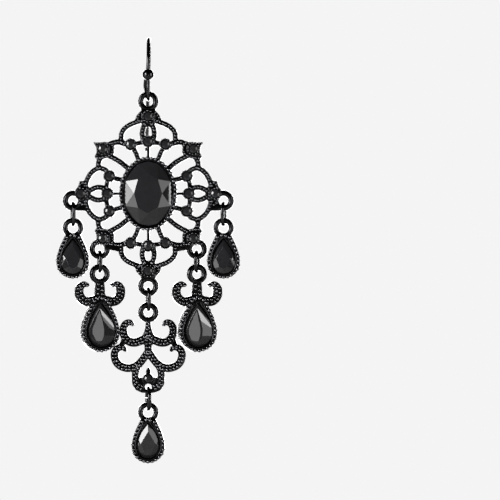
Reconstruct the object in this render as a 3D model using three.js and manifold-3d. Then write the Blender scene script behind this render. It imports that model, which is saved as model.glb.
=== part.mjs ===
// Black chandelier earring: an ear wire with a ball, a pierced oval medallion set with stones,
// two small pear drops, two scroll drops with larger pears, and a pierced scroll pendant that
// carries a last pear drop.
// Millimetres. X runs across the earring, -Y is its front, Z is up.
// The origin is the inside top of the ear wire's arch, where the earring hangs in the ear.
import * as THREE from 'three';
import { mergeVertices } from 'three/addons/utils/BufferGeometryUtils.js';
import { ConvexGeometry } from 'three/addons/geometries/ConvexGeometry.js';
import Module from 'manifold-3d';

const wasm = await Module();
wasm.setup();

// Ear wire
const WIRE = 0.76;
const ARCH_HALF = 4.2;
const LEG_LENGTH = 23.1;
const EYE_RADIUS = 1.6;
const EYE_CENTRE_BELOW = 10.85;
const WIRE_ASIDE = 0.65;
const BALL_RADIUS = 1.2;
const BALL_BELOW = 7.3;

// Castings and how far the pieces stay apart
const SHEET = 1.4;
const SETTING_GAP = 0.1;
const RUNNING_GAP = 0.2;

// Rings cast on the edges: the radius of the hole, the thickness of the ring's band, and how far
// past the hole the casting is cut back before the band goes in
const RING_HOLE = 1.0;
const RING_BAND = 1.15;
const DROP_RING_HOLE = 1.1;
const DROP_RING_BAND = 1.05;
const RING_CLEARED = 0.3;

// Medallion
const BEZEL_HALF_WIDTH = 6.02;
const BEZEL_HALF_HEIGHT = 7.7;
const BEZEL_WALL = 0.8;
const BEZEL_RIM = 2.2;
const BEZEL_FLOOR = 0.8;
const OVAL_TABLE = 3.3;
const OVAL_GIRDLE = 0.1;
const OVAL_GIRDLE_DIP = 0.3;
const UPRIGHT_REACH = 16.2;
const UPRIGHT_HALF = 5.7;
const UPRIGHT_RING = 19.4;
const SIDE_REACH = 14.1;
const SIDE_HALF = 5.4;
const SIDE_RING_OUT = 15.8;
const SIDE_RING_DROP = 1.45;
const CORNER_ACROSS = 9.5;
const CORNER_UP = 9.4;
const CORNER_RING_ACROSS = 10.2;
const CORNER_RING_DOWN = 11.65;
const PLATE_HALF = 1.9;
const NECK_WIDTH = 3.1;

// Small stones and their cups
const STONE_RADIUS = 0.9;
const CUP_WALL = 0.3;
const CUP_RIM = 1.5;
const STONE_SEAT = 0.2;
const STONE_TABLE = 1.9;
const STONE_GIRDLE = 0.15;
const TABLE_SHARE = 0.55;
const CUT_PAST = 1;

// Bar widths
const ARCH_BAR = 1.08;
const TIE_BAR = 1.2;
const LINKING_BAR = 0.95;
const SPOKE_BAR = 1.0;
const DIAGONAL_BAR = 1.1;
const WEB_BAR = 1.3;
const FINE_BAR = 0.55;
const EYE_BAR = 1.12;

// Links, each as outer width, inner length and wire
const LINK_WIRE = 0.8;
const LINK_WIDTH = 4.0;
const OUTER_LINK_INSIDE = 3.8;
const LOWER_LINK_INSIDE = 3.4;
const CENTRE_LINK_INSIDE = 3.7;
const LINK_YAW = 8;
const JUMP_WIRE = 0.85;
const JUMP_INSIDE = 3.7;
const JUMP_SLIT = 0.2;

// Pear drops, measured down from the centre of their ring
const PEAR_WALL = 0.86;
const PEAR_FLOOR = 0.7;
const SMALL_PEAR = { round: 3.46, roundDown: 7.2, top: 1.4, topHalf: 1.55, stoneTop: 2.3, rim: 1.5 };
const LARGE_PEAR = { round: 4.0, roundDown: 12.32, top: 5.2, topHalf: 1.3, stoneTop: 6.1, rim: 1.6 };
const PEAR_BACK = 1.1;
const PEAR_CROWN = 0.35;
const PEAR_GIRDLE = 0.3;

// Scroll drops and scroll pendant
const SCROLL_BAND = 1.9;
const SCROLL_HALF = 5.3;
const SCROLL_DOWN = 6.0;
const PENDANT_HALF = 7.9;
const PENDANT_DOWN = 15.7;
const PENDANT_EYE = 0.66;
const PENDANT_EYE_BAND = 0.65;
const PENDANT_STONE_RADIUS = 0.75;
const PENDANT_STONE_DOWN = 13.9;
const DROP_TURN = 12;

// Facets
const RING_SIDES = 12;
const WIRE_SIDES = 6;
const CUP_SIDES = 12;
const OVAL_SIDES = 32;

const blackMetal = () => new THREE.MeshStandardMaterial({ color: '#1d1d1f', roughness: 0.32, metalness: 1 });
const blackGlass = () => new THREE.MeshStandardMaterial({ color: '#060607', roughness: 0.06, metalness: 0 });

// Solids: closed geometry in and out of the boolean library

function solidOf(geometry) {
  const bare = geometry.clone();
  bare.deleteAttribute('normal');
  bare.deleteAttribute('uv');
  const merged = mergeVertices(bare, 1e-4);
  const vertProperties = new Float32Array(merged.attributes.position.array);
  const triVerts = new Uint32Array(merged.index.array);
  return new wasm.Manifold(new wasm.Mesh({ numProp: 3, vertProperties, triVerts }));
}

function geometryOf(solid) {
  const mesh = solid.getMesh();
  const geometry = new THREE.BufferGeometry();
  geometry.setAttribute('position', new THREE.BufferAttribute(new Float32Array(mesh.vertProperties), 3));
  geometry.setIndex(new THREE.BufferAttribute(new Uint32Array(mesh.triVerts), 1));
  geometry.computeVertexNormals();
  return geometry;
}

const joined = (solids) => solids.reduce((whole, piece) => whole.add(piece));

// Flat outlines in the XZ plane, made thick between two places along Y

function slab(shape, back, front) {
  const settings = { depth: back - front, bevelEnabled: false, curveSegments: 6 };
  const geometry = new THREE.ExtrudeGeometry(shape, settings);
  geometry.rotateX(Math.PI / 2);
  geometry.translate(0, back, 0);
  return solidOf(geometry);
}

const sheet = (shape) => slab(shape, SHEET / 2, -SHEET / 2);

function ellipseShape(x, z, halfWidth, halfHeight, sides) {
  const points = [];
  for (let i = 0; i < sides; i += 1) {
    const angle = (i * 2 * Math.PI) / sides;
    points.push(new THREE.Vector2(x + halfWidth * Math.cos(angle), z + halfHeight * Math.sin(angle)));
  }
  return new THREE.Shape(points);
}

// A bar whose rows are [x, z, width], with rounded ends
function ribbonShape(rows, steps = 2 * rows.length) {
  const spine = new THREE.CatmullRomCurve3(rows.map((row) => new THREE.Vector3(...row)));
  const left = [];
  const right = [];
  const edge = (centre, along, half, turn) => {
    const way = along.clone().rotateAround(new THREE.Vector2(), turn);
    return centre.clone().addScaledVector(way, half);
  };
  for (let i = 0; i <= steps; i += 1) {
    const place = spine.getPoint(i / steps);
    const tangent = spine.getTangent(i / steps);
    const centre = new THREE.Vector2(place.x, place.y);
    const along = new THREE.Vector2(tangent.x, tangent.y).normalize();
    const half = place.z / 2;
    if (i === 0) {
      left.push(edge(centre, along, half, Math.PI));
      left.push(edge(centre, along, half, (3 * Math.PI) / 4));
      right.push(edge(centre, along, half, (-3 * Math.PI) / 4));
    }
    left.push(edge(centre, along, half, Math.PI / 2));
    right.push(edge(centre, along, half, -Math.PI / 2));
    if (i === steps) {
      left.push(edge(centre, along, half, Math.PI / 4));
      left.push(edge(centre, along, half, 0));
      right.push(edge(centre, along, half, -Math.PI / 4));
    }
  }
  return new THREE.Shape([...left, ...right.reverse()]);
}

const ribbon = (rows, steps) => sheet(ribbonShape(rows, steps));

// Round things: a cast ring that faces front, and a link that stands across it

function ringSolid(x, z, hole, band) {
  const profile = [];
  for (let i = 0; i <= WIRE_SIDES; i += 1) {
    const angle = (i * 2 * Math.PI) / WIRE_SIDES;
    profile.push(new THREE.Vector2(hole + (band / 2) * (1 + Math.cos(angle)), (SHEET / 2) * Math.sin(angle)));
  }
  profile[WIRE_SIDES].copy(profile[0]);
  const geometry = new THREE.LatheGeometry(profile, RING_SIDES);
  return solidOf(geometry.translate(x, 0, z));
}

// A casting with a ring set into it
function withRing(casting, x, z, hole, band, front = -SHEET / 2) {
  const cleared = hole + RING_CLEARED;
  const round = ellipseShape(x, z, cleared, cleared, RING_SIDES);
  return casting.subtract(slab(round, PEAR_BACK, front)).add(ringSolid(x, z, hole, band));
}

function linkGeometry(outerWidth, insideLength, wire) {
  const radius = (outerWidth - wire) / 2;
  const stretch = (insideLength + 2 * wire - outerWidth) / 2;
  const profile = [];
  for (let i = 0; i <= WIRE_SIDES; i += 1) {
    const angle = (i * 2 * Math.PI) / WIRE_SIDES;
    profile.push(new THREE.Vector2(radius + (wire / 2) * Math.cos(angle), (wire / 2) * Math.sin(angle)));
  }
  profile[WIRE_SIDES].copy(profile[0]);
  const geometry = new THREE.LatheGeometry(profile, RING_SIDES, Math.PI / RING_SIDES);
  geometry.rotateZ(Math.PI / 2);
  const position = geometry.attributes.position;
  for (let i = 0; i < position.count; i += 1) {
    position.setZ(i, position.getZ(i) + Math.sign(position.getZ(i)) * stretch);
  }
  return geometry;
}

// Stones

// A round stone: a flat table, eight crown facets each way round, and a plain back
function roundStone(radius, girdle, table, back) {
  const points = [];
  for (let i = 0; i < 8; i += 1) {
    const turn = (i * Math.PI) / 4;
    const half = turn + Math.PI / 8;
    const flat = TABLE_SHARE * radius;
    points.push(new THREE.Vector3(flat * Math.cos(half), -table, flat * Math.sin(half)));
    points.push(new THREE.Vector3(radius * Math.cos(turn), -girdle, radius * Math.sin(turn)));
    points.push(new THREE.Vector3(radius * Math.cos(turn), -back, radius * Math.sin(turn)));
  }
  return new ConvexGeometry(points);
}

// Pear outline, measured down from the ring's centre
function pearShape(round, roundDown, top, topHalf) {
  const shape = new THREE.Shape();
  const rise = roundDown - top;
  shape.moveTo(topHalf, -top);
  shape.bezierCurveTo(
    topHalf + 0.5 * (round - topHalf), -(top + 0.32 * rise),
    round, -(top + 0.66 * rise),
    round, -roundDown,
  );
  shape.absarc(0, -roundDown, round, 0, -Math.PI, true);
  shape.bezierCurveTo(
    -round, -(top + 0.66 * rise),
    -(topHalf + 0.5 * (round - topHalf)), -(top + 0.32 * rise),
    -topHalf, -top,
  );
  return shape;
}

const pearStoneRound = (pear) => pear.round - PEAR_WALL - SETTING_GAP;

// A pear setting: the cup that the stone sits in
function pearCup(pear) {
  const outside = pearShape(pear.round, pear.roundDown, pear.top, pear.topHalf);
  const inside = pearShape(pear.round - PEAR_WALL, pear.roundDown, pear.stoneTop - SETTING_GAP, SETTING_GAP);
  const body = slab(outside, PEAR_BACK, -pear.rim);
  return body.subtract(slab(inside, PEAR_BACK - PEAR_FLOOR, -pear.rim - CUT_PAST));
}

// A pear's table, as [across, down]: a share of the stone's half-width, and a share of the way
// from its tip to its round end. The small pears have a kite. The large ones have a wide pear set
// to one side, which leaves broad facets on the other.
const KITE_TABLE = [
  [0, 0.22], [0.6, 0.56], [0.33, 0.8], [0, 0.86], [-0.33, 0.8], [-0.6, 0.56],
];
const WIDE_TABLE = [
  [-0.06, 0.1], [0.2, 0.4], [0.3, 0.58], [0.28, 0.72], [0.1, 0.86], [-0.2, 0.9],
  [-0.52, 0.84], [-0.76, 0.7], [-0.76, 0.55], [-0.48, 0.34],
];

// A pear stone: its table, crown facets down to the girdle, and a plain back
function pearStone(pear, table) {
  const round = pearStoneRound(pear);
  const outline = pearShape(round, pear.roundDown, pear.stoneTop + SETTING_GAP, SETTING_GAP / 2);
  const points = [];
  for (const corner of outline.getPoints(5)) {
    points.push(new THREE.Vector3(corner.x, PEAR_BACK - PEAR_FLOOR - SETTING_GAP, corner.y));
    points.push(new THREE.Vector3(corner.x, -pear.rim + PEAR_GIRDLE, corner.y));
  }
  const tall = pear.roundDown + round - pear.stoneTop;
  for (const [across, down] of table) {
    points.push(new THREE.Vector3(across * round, -pear.rim - PEAR_CROWN, -pear.stoneTop - down * tall));
  }
  return new ConvexGeometry(points);
}

// The large oval stone: an eight-sided table, and eight-pointed crown facets round it. The table
// is this share of the stone's width and height.
const OVAL_TABLE_SHARE = { across: 0.57, up: 0.62 };

function ovalStone() {
  const halfWidth = BEZEL_HALF_WIDTH - BEZEL_WALL - SETTING_GAP;
  const halfHeight = BEZEL_HALF_HEIGHT - BEZEL_WALL - SETTING_GAP;
  const points = [];
  for (let i = 0; i < 16; i += 1) {
    const turn = (i * Math.PI) / 8;
    const x = halfWidth * Math.cos(turn);
    const z = halfHeight * Math.sin(turn);
    const dip = i % 2 === 0 ? OVAL_GIRDLE_DIP : 0;
    points.push(new THREE.Vector3(x, -BEZEL_RIM + OVAL_GIRDLE + dip, z));
    points.push(new THREE.Vector3(x, SHEET / 2 - BEZEL_FLOOR - SETTING_GAP, z));
    if (i % 2 === 0) {
      points.push(new THREE.Vector3(OVAL_TABLE_SHARE.across * x, -OVAL_TABLE, OVAL_TABLE_SHARE.up * z));
    }
  }
  return new ConvexGeometry(points);
}

// A round cup that holds a small stone, to be joined to the casting
const cupSolid = (x, z, radius) => slab(ellipseShape(x, z, radius, radius, CUP_SIDES), SHEET / 2, -CUP_RIM);

// Its hollow, cut after all bars are joined
function cupHollow(x, z, radius) {
  return slab(ellipseShape(x, z, radius, radius, CUP_SIDES), STONE_SEAT, -CUP_RIM - CUT_PAST);
}

// Medallion

// The four lobes and their way out, then how far the bezel's edge and the tip stone lie out, and the
// half-width
const LOBES = [
  { name: 'top', way: [0, 1], upright: true },
  { name: 'bottom', way: [0, -1], upright: true },
  { name: 'left', way: [-1, 0], upright: false },
  { name: 'right', way: [1, 0], upright: false },
];
const UPRIGHT_LOBE = { from: BEZEL_HALF_HEIGHT, reach: UPRIGHT_REACH, half: UPRIGHT_HALF };
const SIDE_LOBE = { from: BEZEL_HALF_WIDTH, reach: SIDE_REACH, half: SIDE_HALF };

// Bars of a lobe. A route's rows are [across, out]: across is a share of the lobe's half-width,
// and out is a share of the way from the bezel's edge to the tip stone.
const UPRIGHT_BARS = [
  { width: ARCH_BAR, route: [
    [0.22, 0.91], [0.47, 0.85], [0.7, 0.79], [0.88, 0.7], [0.98, 0.6], [1, 0.48], [1, 0.37],
  ] },
  { width: TIE_BAR, route: [[0.64, 0.3], [0.87, 0.325], [1.1, 0.375], [1.32, 0.34], [1.6, 0.25]] },
  { width: LINKING_BAR, route: [[0, 0.38], [0.32, 0.345], [0.64, 0.31]] },
  { width: SPOKE_BAR, route: [[0.64, 0.31], [0.56, 0.22], [0.45, 0.1], [0.38, -0.04]] },
  { width: EYE_BAR, route: [[0.1, 0.83], [0.19, 0.72], [0.22, 0.62], [0.22, 0.5], [0.14, 0.4]] },
];
const SIDE_BARS = [
  { width: ARCH_BAR, route: [
    [0.3, 0.9], [0.59, 0.83], [0.79, 0.75], [0.94, 0.63], [1, 0.52], [0.95, 0.4], [0.84, 0.29], [0.68, 0.25],
  ] },
  { width: LINKING_BAR, route: [[0, 0.31], [0.35, 0.34], [0.68, 0.26]] },
  { width: SPOKE_BAR, route: [[0.68, 0.25], [0.6, 0.12], [0.54, -0.06]] },
  { width: EYE_BAR, route: [[0.04, 0.84], [0.16, 0.73], [0.24, 0.61], [0.25, 0.5], [0.18, 0.35]] },
];
const FINE_SPOKE = [[0, 0.3], [0, 0.1], [0, -0.04]];
const UPRIGHT_PLATE = [
  [0, 0.74], [0.16, 0.77], [0.22, 0.82], [0.5, 0.9], [0.44, 1.02], [0.31, 1.12], [0, 1.14],
];
const SIDE_PLATE = [
  [0, 0.76], [0.22, 0.79], [0.5, 0.84], [0.49, 1.04], [0.28, 1.08], [0.13, 1.16], [0, 1.17],
];

// Stones of a lobe, as [across, out] in the same shares
const UPRIGHT_STONES = { mid: [0, 0.38], near: [-0.64, 0.31], far: [0.64, 0.31], tip: [0, 1] };
const SIDE_STONES = { mid: [0, 0.31], near: [-0.68, 0.26], far: [0.68, 0.26], tip: [0, 1] };

function inLobe({ way: [x, z], upright }, across, out) {
  const { from, reach, half } = upright ? UPRIGHT_LOBE : SIDE_LOBE;
  const along = from + out * (reach - from);
  const beside = across * half;
  return [x * along + z * beside, z * along + x * beside];
}

function outlineInLobe(lobe, rows) {
  const there = rows.map(([across, out]) => new THREE.Vector2(...inLobe(lobe, across, out)));
  const back = rows.slice(1, -1).map(([across, out]) => new THREE.Vector2(...inLobe(lobe, -across, out)));
  return new THREE.Shape([...there, ...back.reverse()]);
}

function lobeSolids(lobe) {
  const bars = lobe.upright ? UPRIGHT_BARS : SIDE_BARS;
  const solids = [];
  for (const { width, route } of bars) {
    for (const side of [-1, 1]) {
      const rows = route.map(([across, out]) => [...inLobe(lobe, side * across, out), width]);
      solids.push(ribbon(rows, route.length));
    }
  }
  const spoke = FINE_SPOKE.map(([across, out]) => [...inLobe(lobe, across, out), FINE_BAR]);
  solids.push(ribbon(spoke, 2));
  solids.push(sheet(outlineInLobe(lobe, lobe.upright ? UPRIGHT_PLATE : SIDE_PLATE)));
  return solids;
}

// Corner plates: outlines round the corner stone, as shares of the plate's half-size
const CORNER_PLATE = [
  [1.1, 0.8], [0.65, 0.7], [-0.3, 0.78], [-1.22, 0.6], [-1.25, -0.45], [-0.95, -0.8],
  [-0.5, -1.0], [0.1, -1.15], [0.6, -1.3], [0.95, -0.85], [0.72, -0.4], [0.75, 0.15],
];
// Bars that start at a corner stone, as [across, up] from the medallion's centre
const CORNER_BARS = [
  { width: DIAGONAL_BAR, route: [[0.85, 0.84], [0.62, 0.71], [0.44, 0.56]] },
  { width: ARCH_BAR, route: [[1.02, 0.85], [1.1, 0.7], [1.1, 0.57]] },
];

function cornerSolids(across, up) {
  const outline = CORNER_PLATE.map(([a, u]) => new THREE.Vector2(
    across * (CORNER_ACROSS + a * PLATE_HALF),
    up * (CORNER_UP + u * PLATE_HALF),
  ));
  const solids = [sheet(new THREE.Shape(outline))];
  for (const { width, route } of CORNER_BARS) {
    const rows = route.map(([a, u]) => [across * a * CORNER_ACROSS, up * u * CORNER_UP, width]);
    solids.push(ribbon(rows, 4));
  }
  return solids;
}

// Each small stone's name and place on the medallion
function medallionStones() {
  const stones = [];
  for (const lobe of LOBES) {
    const places = lobe.upright ? UPRIGHT_STONES : SIDE_STONES;
    for (const [place, shares] of Object.entries(places)) {
      const [x, z] = inLobe(lobe, ...shares);
      stones.push({ name: `stone_${lobe.name}_${place}`, x, z });
    }
  }
  for (const [side, across] of [['left', -1], ['right', 1]]) {
    for (const [level, up] of [['upper', 1], ['lower', -1]]) {
      stones.push({ name: `stone_${level}_${side}_corner`, x: across * CORNER_ACROSS, z: up * CORNER_UP });
    }
  }
  return stones;
}

const MEDALLION_STONES = medallionStones();

// Webs that carry the rings at the sides and below the lower corners, as [across, up] from the
// ring's centre in shares of the ring's outer radius. The corner's web runs on to the upright lobe.
const SIDE_WEB = [[-0.37, -0.67], [-1.3, -0.7]];
const CORNER_WEB = [[-0.65, 0.23], [-1.3, 0.19]];

function webSolids(across) {
  const outer = RING_HOLE + RING_BAND;
  const side = SIDE_WEB.map(([a, u]) => [SIDE_RING_OUT + a * outer, -SIDE_RING_DROP + u * outer]);
  const corner = CORNER_WEB.map(([a, u]) => [CORNER_RING_ACROSS + a * outer, -CORNER_RING_DOWN + u * outer]);
  corner.push([UPRIGHT_HALF, -CORNER_RING_DOWN]);
  return [side, corner].map((route) => ribbon(route.map(([x, z]) => [across * x, z, WEB_BAR]), route.length));
}

// Necks from the upright lobes' tip stones to the rings beyond them
function neckSolid(up) {
  const end = UPRIGHT_RING - RING_HOLE - RING_BAND / 2;
  return slab(new THREE.Shape([
    new THREE.Vector2(-NECK_WIDTH / 2, up * UPRIGHT_REACH),
    new THREE.Vector2(-NECK_WIDTH / 2, up * end),
    new THREE.Vector2(NECK_WIDTH / 2, up * end),
    new THREE.Vector2(NECK_WIDTH / 2, up * UPRIGHT_REACH),
  ]), SHEET / 2, -SHEET / 2);
}

function medallionFrame() {
  const rings = [
    [0, UPRIGHT_RING], [0, -UPRIGHT_RING],
    [-SIDE_RING_OUT, -SIDE_RING_DROP], [SIDE_RING_OUT, -SIDE_RING_DROP],
    [-CORNER_RING_ACROSS, -CORNER_RING_DOWN], [CORNER_RING_ACROSS, -CORNER_RING_DOWN],
  ];
  const bezel = ellipseShape(0, 0, BEZEL_HALF_WIDTH, BEZEL_HALF_HEIGHT, OVAL_SIDES);
  const solids = [slab(bezel, SHEET / 2, -BEZEL_RIM)];
  LOBES.forEach((lobe) => solids.push(...lobeSolids(lobe)));
  solids.push(neckSolid(1), neckSolid(-1));
  for (const across of [-1, 1]) {
    solids.push(...webSolids(across));
    for (const up of [-1, 1]) {
      solids.push(...cornerSolids(across, up));
    }
  }
  const cup = STONE_RADIUS + SETTING_GAP + CUP_WALL;
  MEDALLION_STONES.forEach(({ x, z }) => solids.push(cupSolid(x, z, cup)));
  let frame = joined(solids);
  for (const [x, z] of rings) {
    frame = withRing(frame, x, z, RING_HOLE, RING_BAND);
  }
  MEDALLION_STONES.forEach(({ x, z }) => {
    frame = frame.subtract(cupHollow(x, z, STONE_RADIUS + SETTING_GAP));
  });
  const halfWidth = BEZEL_HALF_WIDTH - BEZEL_WALL;
  const halfHeight = BEZEL_HALF_HEIGHT - BEZEL_WALL;
  const hollow = ellipseShape(0, 0, halfWidth, halfHeight, OVAL_SIDES);
  return frame.subtract(slab(hollow, SHEET / 2 - BEZEL_FLOOR, -BEZEL_RIM - CUT_PAST));
}

// Drops

function smallDrop() {
  return withRing(pearCup(SMALL_PEAR), 0, 0, DROP_RING_HOLE, DROP_RING_BAND, -SMALL_PEAR.rim);
}

// Half of the scroll drop's scrolls, as [across, down, width] in shares of SCROLL_HALF,
// SCROLL_DOWN and SCROLL_BAND
const DROP_SCROLL = [
  [0.5, 0.38, 0.45], [0.62, 0.355, 0.62], [0.77, 0.42, 0.85], [0.84, 0.61, 0.95], [0.77, 0.83, 1],
  [0.57, 0.96, 1.02], [0.3, 0.94, 1.05], [0, 0.87, 1.1],
];

const DROP_STEM = [[0, 0.28, 0.95], [0, 0.6, 1.1], [0, 0.95, 1.3]];

function scrollDrop() {
  const solids = [pearCup(LARGE_PEAR)];
  for (const side of [-1, 1]) {
    solids.push(ribbon(DROP_SCROLL.map(([across, down, width]) => [
      side * across * SCROLL_HALF, -down * SCROLL_DOWN, width * SCROLL_BAND,
    ]), 14));
  }
  solids.push(ribbon(DROP_STEM.map(([across, down, width]) => [
    across * SCROLL_HALF, -down * SCROLL_DOWN, width * SCROLL_BAND,
  ]), 3));
  const inside = pearShape(
    LARGE_PEAR.round - PEAR_WALL, LARGE_PEAR.roundDown, LARGE_PEAR.stoneTop - SETTING_GAP, SETTING_GAP,
  );
  const casting = joined(solids).subtract(slab(inside, PEAR_BACK - PEAR_FLOOR, -LARGE_PEAR.rim - CUT_PAST));
  return withRing(casting, 0, 0, RING_HOLE, RING_BAND);
}

// Half of the pendant, as [across, down, width]: shares of PENDANT_HALF, PENDANT_DOWN and SCROLL_BAND
const PENDANT_STEM = [
  [0, 0.09, 0.6], [0, 0.165, 0.58], [0, 0.25, 0.85], [0, 0.33, 1.45], [0, 0.42, 0.85], [0, 0.5, 0.85],
  [0, 0.57, 0.75],
];
const PENDANT_SCROLLS = [
  [
    [0.41, 0.165, 0.4], [0.46, 0.138, 0.6], [0.56, 0.14, 0.75], [0.64, 0.18, 0.82], [0.665, 0.25, 0.85],
    [0.63, 0.325, 0.9], [0.53, 0.385, 0.92], [0.37, 0.405, 0.95], [0.2, 0.38, 0.95], [0, 0.33, 0.95],
  ],
  [
    [0.02, 0.54, 0.85], [0.15, 0.635, 0.88], [0.29, 0.71, 0.88], [0.47, 0.745, 0.88], [0.66, 0.735, 0.88],
    [0.81, 0.69, 0.88], [0.89, 0.61, 0.85], [0.88, 0.52, 0.82], [0.78, 0.472, 0.75], [0.66, 0.47, 0.6],
    [0.615, 0.505, 0.45],
  ],
  [[0.66, 0.37, 0.55], [0.69, 0.42, 0.6], [0.76, 0.48, 0.6]],
  [
    [0.25, 0.7, 0.7], [0.33, 0.78, 0.75], [0.345, 0.88, 0.75], [0.32, 0.96, 0.8], [0.17, 1.005, 0.9],
    [0, 1.02, 0.9],
  ],
];
const PENDANT_SHIELD = [
  [0, 0.85], [0.12, 0.865], [0.3, 0.88], [0.41, 0.97], [0.33, 1.04], [0.17, 1.075], [0, 1.08],
];
const PENDANT_FINIAL = [[0, 0.745, 0.22], [0, 0.78, 0.52], [0, 0.86, 0.4]];

function pendantRows(rows, side = 1) {
  return rows.map(([across, down, width]) => [
    side * across * PENDANT_HALF, -down * PENDANT_DOWN, width * SCROLL_BAND,
  ]);
}

function scrollPendant() {
  const solids = [ribbon(pendantRows(PENDANT_STEM), 8), ribbon(pendantRows(PENDANT_FINIAL), 4)];
  for (const rows of PENDANT_SCROLLS) {
    for (const side of [-1, 1]) {
      solids.push(ribbon(pendantRows(rows, side), Math.max(rows.length + 2, 4)));
    }
  }
  const onPendant = (a, d) => new THREE.Vector2(a * PENDANT_HALF, -d * PENDANT_DOWN);
  const right = PENDANT_SHIELD.map(([a, d]) => onPendant(a, d));
  const left = PENDANT_SHIELD.slice(1, -1).map(([a, d]) => onPendant(-a, d));
  solids.push(sheet(new THREE.Shape([...right, ...left.reverse()])));
  const cup = PENDANT_STONE_RADIUS + SETTING_GAP;
  solids.push(cupSolid(0, -PENDANT_STONE_DOWN, cup + CUP_WALL));
  const ringed = withRing(joined(solids), 0, 0, RING_HOLE, RING_BAND);
  return withRing(ringed, 0, -PENDANT_DOWN, PENDANT_EYE, PENDANT_EYE_BAND, -CUP_RIM)
    .subtract(cupHollow(0, -PENDANT_STONE_DOWN, cup));
}

// Ear wire

// The wire's route from the end of the back leg to the eye, as [aside, back, up] in shares of
// WIRE_ASIDE, ARCH_HALF and LEG_LENGTH
const ARCH_ROUTE = [
  [0.75, 1, -1], [0.7, 1, -0.8], [0.5, 0.97, -0.6], [0.3, 0.93, -0.4], [0.1, 0.9, -0.2], [0, 0.76, -0.08],
  [0, 0.42, -0.005], [0, 0, 0.017], [0, -0.42, -0.005], [0, -0.78, -0.07], [0, -1.0, -0.15],
  [0.1, -1.04, -0.23], [0.5, -0.99, -0.32], [0.9, -0.84, -0.37],
];
const PLANE_BACK = -ARCH_HALF;

function earWire() {
  const route = ARCH_ROUTE.map(([aside, back, up]) => new THREE.Vector3(
    -aside * WIRE_ASIDE, back * ARCH_HALF, up * LEG_LENGTH,
  ));
  const eyeTurns = [40, 10, -20, -55, -90, -125, -160, -185];
  eyeTurns.forEach((degrees, index) => {
    const turn = THREE.MathUtils.degToRad(degrees);
    route.push(new THREE.Vector3(
      -WIRE_ASIDE * Math.max(0, 1 - index / 4),
      PLANE_BACK + EYE_RADIUS * Math.cos(turn),
      -EYE_CENTRE_BELOW + EYE_RADIUS * Math.sin(turn),
    ));
  });
  const ballBack = PLANE_BACK - WIRE / 2 - BALL_RADIUS - RUNNING_GAP / 2;
  const ball = new THREE.Vector3(0, ballBack, -BALL_BELOW);
  route.push(ball.clone().lerp(route[route.length - 1], 0.5));
  route.push(ball);
  const section = ellipseShape(0, 0, WIRE / 2, WIRE / 2, WIRE_SIDES);
  const path = new THREE.CatmullRomCurve3(route);
  const wire = new THREE.ExtrudeGeometry(section, { steps: 60, bevelEnabled: false, extrudePath: path });
  const bead = new THREE.SphereGeometry(BALL_RADIUS, 14, 10).translate(ball.x, ball.y, ball.z);
  return solidOf(wire).add(solidOf(bead));
}

// The assembly

const earring = new THREE.Group();

function addMesh(parent, name, geometry, material, x = 0, z = 0) {
  const mesh = new THREE.Mesh(geometry, material);
  mesh.name = name;
  mesh.position.set(x, 0, z);
  parent.add(mesh);
  return mesh;
}

const GLASS_BACK = SETTING_GAP - STONE_SEAT;

function addStone(parent, name, x, z, radius = STONE_RADIUS) {
  const stone = roundStone(radius, CUP_RIM - STONE_GIRDLE, STONE_TABLE, GLASS_BACK);
  return addMesh(parent, name, stone, blackGlass(), x, z);
}

// A link between two cast rings: it hangs in the upper hole and the lower ring hangs in it
function addLink(parent, name, x, upperZ, upperHole, inside) {
  const mesh = addMesh(parent, name, linkGeometry(LINK_WIDTH, inside, LINK_WIRE), blackMetal(), x);
  mesh.position.z = upperZ - upperHole - inside / 2 + RUNNING_GAP / 2;
  mesh.rotation.z = THREE.MathUtils.degToRad(x > 0 ? -LINK_YAW : LINK_YAW);
}

// How far a lower ring's centre lies below the upper ring's, with a running gap at both ends
const drop = (upperHole, inside, lowerHole) => upperHole + inside + lowerHole - RUNNING_GAP;

addMesh(earring, 'ear_hook', geometryOf(earWire()), blackMetal());

const hanging = new THREE.Group();
hanging.position.set(0, PLANE_BACK, -EYE_CENTRE_BELOW - EYE_RADIUS + WIRE / 2 + RUNNING_GAP - RING_HOLE);
earring.add(hanging);

const medallion = new THREE.Group();
medallion.position.z = -UPRIGHT_RING;
hanging.add(medallion);
addMesh(medallion, 'medallion_frame', geometryOf(medallionFrame()), blackMetal());
addMesh(medallion, 'oval_stone', ovalStone(), blackGlass());
MEDALLION_STONES.forEach(({ name, x, z }) => addStone(medallion, name, x, z));

for (const [side, across] of [['left', -1], ['right', 1]]) {
  addLink(medallion, `link_${side}`, across * SIDE_RING_OUT, -SIDE_RING_DROP, RING_HOLE, OUTER_LINK_INSIDE);
  const outer = new THREE.Group();
  outer.position.x = across * SIDE_RING_OUT;
  outer.position.z = -SIDE_RING_DROP - drop(RING_HOLE, OUTER_LINK_INSIDE, DROP_RING_HOLE);
  medallion.add(outer);
  addMesh(outer, `drop_${side}`, geometryOf(smallDrop()), blackMetal());
  addMesh(outer, `pear_stone_${side}`, pearStone(SMALL_PEAR, KITE_TABLE), blackGlass());

  const lowerX = across * CORNER_RING_ACROSS;
  addLink(medallion, `link_lower_${side}`, lowerX, -CORNER_RING_DOWN, RING_HOLE, LOWER_LINK_INSIDE);
  const lower = new THREE.Group();
  lower.position.x = lowerX;
  lower.position.z = -CORNER_RING_DOWN - drop(RING_HOLE, LOWER_LINK_INSIDE, RING_HOLE);
  lower.rotation.z = THREE.MathUtils.degToRad(DROP_TURN);
  medallion.add(lower);
  addMesh(lower, `scroll_drop_${side}`, geometryOf(scrollDrop()), blackMetal());
  addMesh(lower, `scroll_stone_${side}`, pearStone(LARGE_PEAR, WIDE_TABLE), blackGlass());
}

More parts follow.
